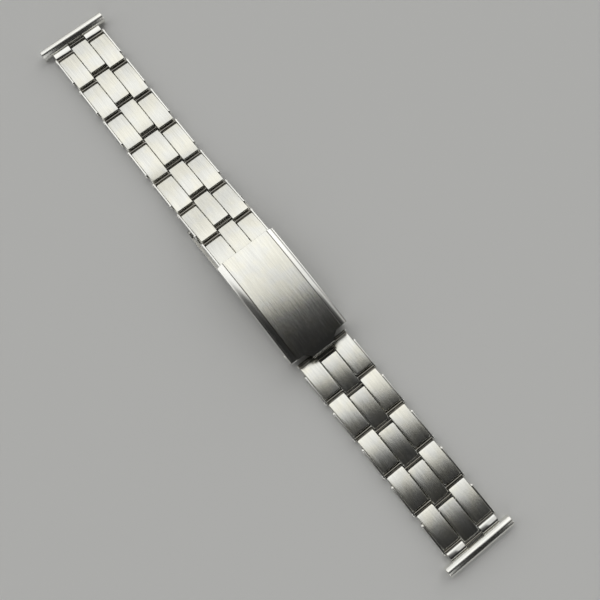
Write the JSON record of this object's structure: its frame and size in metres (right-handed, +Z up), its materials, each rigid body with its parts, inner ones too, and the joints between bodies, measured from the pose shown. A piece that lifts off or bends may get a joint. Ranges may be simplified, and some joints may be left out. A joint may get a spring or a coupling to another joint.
{
  "type": "rivet link watch bracelet",
  "caption": "Steel watch bracelet of folded rivet links in three columns, with a three-fold hinged clasp, brushed cover and straight tube ends.",
  "frame": {"origin": "middle of the bracelet's footprint on the surface that it lies on", "axes": "+X along the strap towards the short strand's tube, +Y across it, +Z up, away from the wrist side"},
  "size_m": [0.1752, 0.02, 0.0082],
  "materials": {
    "brushed_links": "brushed lengthwise",
    "brushed_cover": "brushed lengthwise on the panel, polished borders",
    "polished_plates": "polished",
    "polished_steel": "polished",
    "blade_steel": "fine satin"
  },
  "bodies": {
    "lower_blade": {"clasp_lower_blade": "blade_steel", "blade_hinge_pin": "polished_steel", "lower_strand_pin": "polished_steel"},
    "upper_blade": {"clasp_upper_blade": "blade_steel"},
    "cover": {"clasp_cover": "brushed_cover", "cover_hinge_pin": "polished_steel", "adjusting_spring_bar": "polished_steel"},
    "upper_row_1": {"upper_row_1_outer_links": "brushed_links", "upper_row_1_center_link": "brushed_links", "upper_row_1_side_plates": "polished_plates", "upper_row_1_pins": "polished_steel"},
    "upper_row_2": {"upper_row_2_outer_links": "brushed_links", "upper_row_2_center_link": "brushed_links", "upper_row_2_side_plates": "polished_plates", "upper_row_2_pins": "polished_steel"},
    "upper_row_3": {"upper_row_3_outer_links": "brushed_links", "upper_row_3_center_link": "brushed_links", "upper_row_3_side_plates": "polished_plates", "upper_row_3_pins": "polished_steel"},
    "upper_row_4": {"upper_row_4_outer_links": "brushed_links", "upper_row_4_center_link": "brushed_links", "upper_row_4_side_plates": "polished_plates", "upper_row_4_pins": "polished_steel"},
    "upper_row_5": {"upper_row_5_outer_links": "brushed_links", "upper_row_5_center_link": "brushed_links", "upper_row_5_side_plates": "polished_plates", "upper_row_5_pins": "polished_steel"},
    "upper_row_6": {"upper_row_6_outer_links": "brushed_links", "upper_row_6_center_link": "brushed_links", "upper_row_6_side_plates": "polished_plates", "upper_row_6_pins": "polished_steel"},
    "upper_row_7": {"upper_row_7_outer_links": "brushed_links", "upper_row_7_center_link": "brushed_links", "upper_row_7_side_plates": "polished_plates", "upper_row_7_pins": "polished_steel"},
    "upper_end": {"upper_end_piece": "polished_steel"},
    "lower_row_1": {"lower_row_1_outer_links": "brushed_links", "lower_row_1_center_link": "brushed_links", "lower_row_1_side_plates": "polished_plates", "lower_row_1_pins": "polished_steel"},
    "lower_row_2": {"lower_row_2_outer_links": "brushed_links", "lower_row_2_center_link": "brushed_links", "lower_row_2_side_plates": "polished_plates", "lower_row_2_pins": "polished_steel"},
    "lower_row_3": {"lower_row_3_outer_links": "brushed_links", "lower_row_3_center_link": "brushed_links", "lower_row_3_side_plates": "polished_plates", "lower_row_3_pins": "polished_steel"},
    "lower_row_4": {"lower_row_4_outer_links": "brushed_links", "lower_row_4_center_link": "brushed_links", "lower_row_4_side_plates": "polished_plates", "lower_row_4_pins": "polished_steel"},
    "lower_row_5": {"lower_row_5_outer_links": "brushed_links", "lower_row_5_center_link": "brushed_links", "lower_row_5_side_plates": "polished_plates", "lower_row_5_pins": "polished_steel"},
    "lower_end": {"lower_end_piece": "polished_steel"}
  },
  "joints": [
    {"name": "blade_hinge", "type": "hinge", "parent": "lower_blade", "child": "upper_blade", "pos_m": [-0.01987, 0, 0.00101], "axis": [0, -1, 0], "range_deg": [0, 150]},
    {"name": "cover_hinge", "type": "hinge", "parent": "upper_blade", "child": "cover", "pos_m": [0.02133, 0, 0.00286], "axis": [0, 1, 0], "range_deg": [0, 150]},
    {"name": "upper_row_1_hinge", "type": "hinge", "parent": "cover", "child": "upper_row_1", "pos_m": [-0.00277, 0, 0.00574], "axis": [0, -1, 0], "range_deg": [-4, 0.5]},
    {"name": "upper_row_2_hinge", "type": "hinge", "parent": "upper_row_1", "child": "upper_row_2", "pos_m": [-0.01412, 0, 0.00463], "axis": [0, -1, 0], "range_deg": [-10, 1.5]},
    {"name": "upper_row_3_hinge", "type": "hinge", "parent": "upper_row_2", "child": "upper_row_3", "pos_m": [-0.02529, 0, 0.00238], "axis": [0, -1, 0], "range_deg": [-10, 45]},
    {"name": "upper_row_4_hinge", "type": "hinge", "parent": "upper_row_3", "child": "upper_row_4", "pos_m": [-0.03663, 0, 0.0012], "axis": [0, -1, 0], "range_deg": [-10, 45]},
    {"name": "upper_row_5_hinge", "type": "hinge", "parent": "upper_row_4", "child": "upper_row_5", "pos_m": [-0.04803, 0, 0.0012], "axis": [0, -1, 0], "range_deg": [-10, 45]},
    {"name": "upper_row_6_hinge", "type": "hinge", "parent": "upper_row_5", "child": "upper_row_6", "pos_m": [-0.05943, 0, 0.0012], "axis": [0, -1, 0], "range_deg": [-10, 45]},
    {"name": "upper_row_7_hinge", "type": "hinge", "parent": "upper_row_6", "child": "upper_row_7", "pos_m": [-0.07083, 0, 0.0012], "axis": [0, -1, 0], "range_deg": [-10, 45]},
    {"name": "upper_end_hinge", "type": "hinge", "parent": "upper_row_7", "child": "upper_end", "pos_m": [-0.08223, 0, 0.0012], "axis": [0, -1, 0], "range_deg": [-10, 45]},
    {"name": "lower_row_1_hinge", "type": "hinge", "parent": "lower_blade", "child": "lower_row_1", "pos_m": [0.02523, 0, 0.0012], "axis": [0, 1, 0], "range_deg": [-10, 45]},
    {"name": "lower_row_2_hinge", "type": "hinge", "parent": "lower_row_1", "child": "lower_row_2", "pos_m": [0.03663, 0, 0.0012], "axis": [0, 1, 0], "range_deg": [-10, 45]},
    {"name": "lower_row_3_hinge", "type": "hinge", "parent": "lower_row_2", "child": "lower_row_3", "pos_m": [0.04803, 0, 0.0012], "axis": [0, 1, 0], "range_deg": [-10, 45]},
    {"name": "lower_row_4_hinge", "type": "hinge", "parent": "lower_row_3", "child": "lower_row_4", "pos_m": [0.05943, 0, 0.0012], "axis": [0, 1, 0], "range_deg": [-10, 45]},
    {"name": "lower_row_5_hinge", "type": "hinge", "parent": "lower_row_4", "child": "lower_row_5", "pos_m": [0.07083, 0, 0.0012], "axis": [0, 1, 0], "range_deg": [-10, 45]},
    {"name": "lower_end_hinge", "type": "hinge", "parent": "lower_row_5", "child": "lower_end", "pos_m": [0.08223, 0, 0.0012], "axis": [0, 1, 0], "range_deg": [-10, 45]}
  ],
  "couplings": [
    {"joint": "cover_hinge", "follows": "blade_hinge", "ratio": 1}
  ]
}
